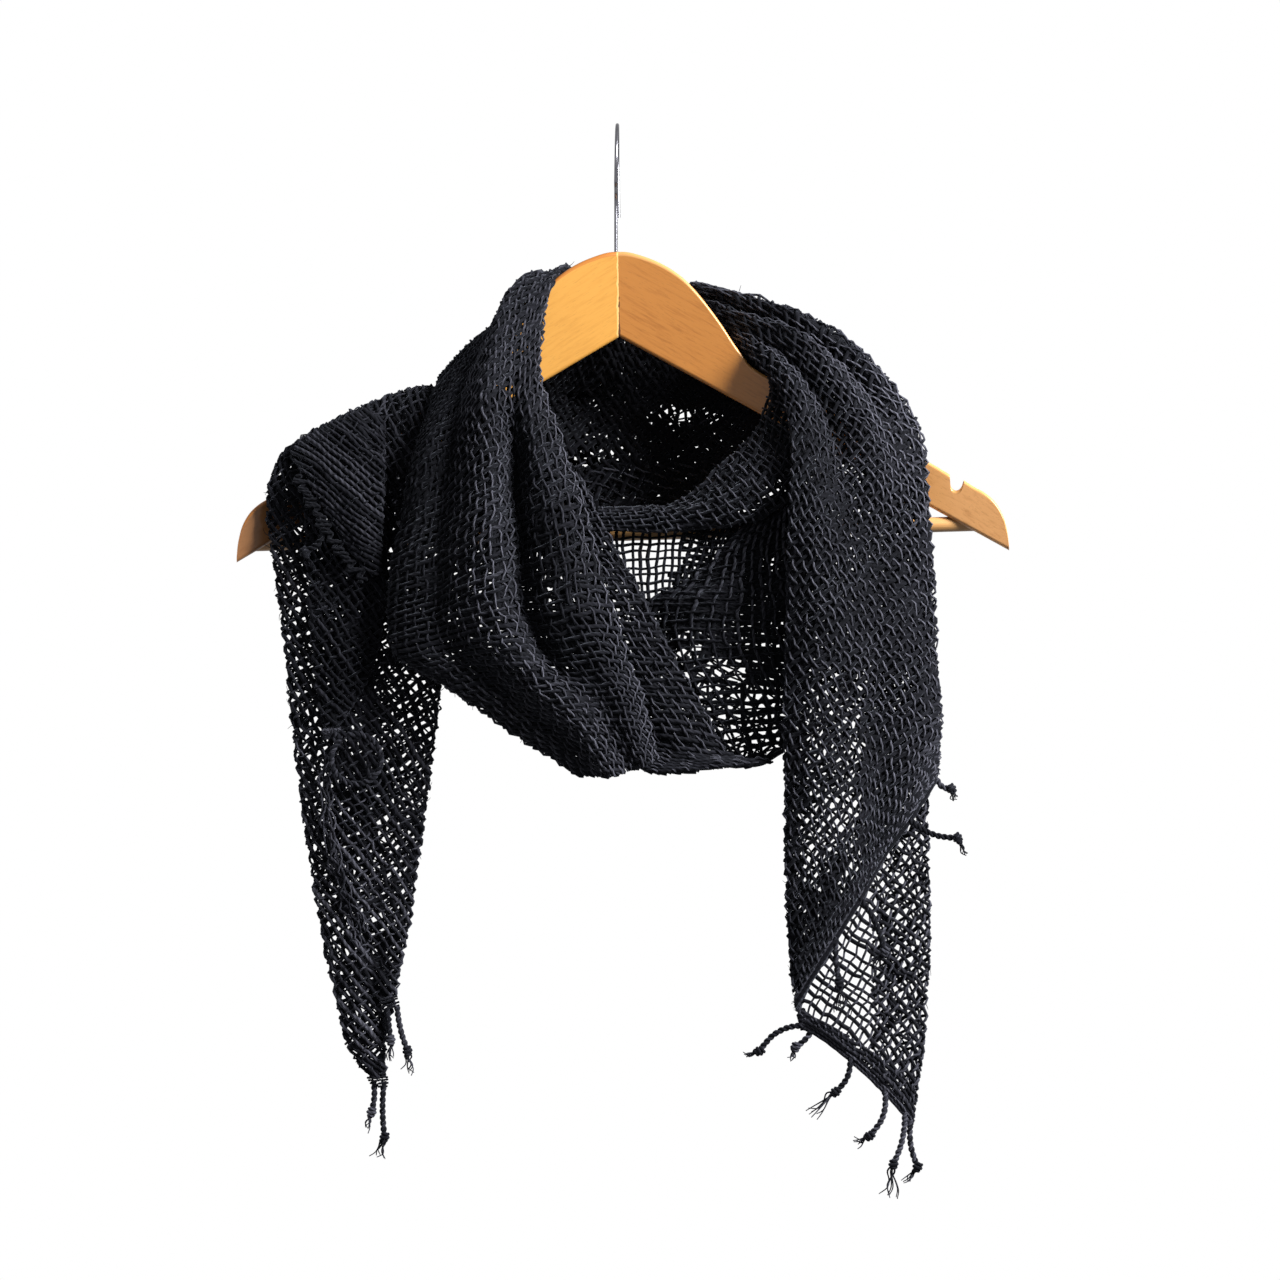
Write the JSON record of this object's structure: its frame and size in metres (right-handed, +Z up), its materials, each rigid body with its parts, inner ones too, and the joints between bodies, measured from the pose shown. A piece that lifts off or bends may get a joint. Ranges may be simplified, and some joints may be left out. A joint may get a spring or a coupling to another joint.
{
  "type": "cotton scarf on a wooden clothes hanger",
  "caption": "Open-weave cotton scarf with tasselled ends wound once round a wooden hanger, both tails hanging in front; hangs from its wire hook.",
  "frame": {"origin": "inside top of the hook, where it rests on its rail", "axes": "+X to the right as seen from the front, -Y towards the front, +Z up"},
  "size_m": [0.4371, 0.1724, 0.6107],
  "materials": {
    "cotton": "matt black cotton yarn in an open plain weave",
    "wood": "clear-lacquered light hardwood",
    "chrome": "bright plated wire"
  },
  "bodies": {
    "root": {"neck_band": "cotton", "neck_band_inner_strip": "cotton", "neck_band_under": "cotton", "lower_swag": "cotton", "collar_roll": "cotton", "net_panel": "cotton", "neck_back_inner": "cotton", "neck_back_outer": "cotton", "right_tail": "cotton", "right_tail_back": "cotton", "left_tail": "cotton", "left_tail_middle": "cotton", "left_flap": "cotton", "fringe_right_front": "cotton", "fringe_right_back": "cotton", "fringe_left_end": "cotton", "fringe_left_side": "cotton", "fringe_left_flap": "cotton", "fringe_left_middle": "cotton", "hanger_arm_left": "wood", "hanger_arm_right": "wood", "trouser_bar": "wood", "hook": "chrome"}
  },
  "joints": []
}
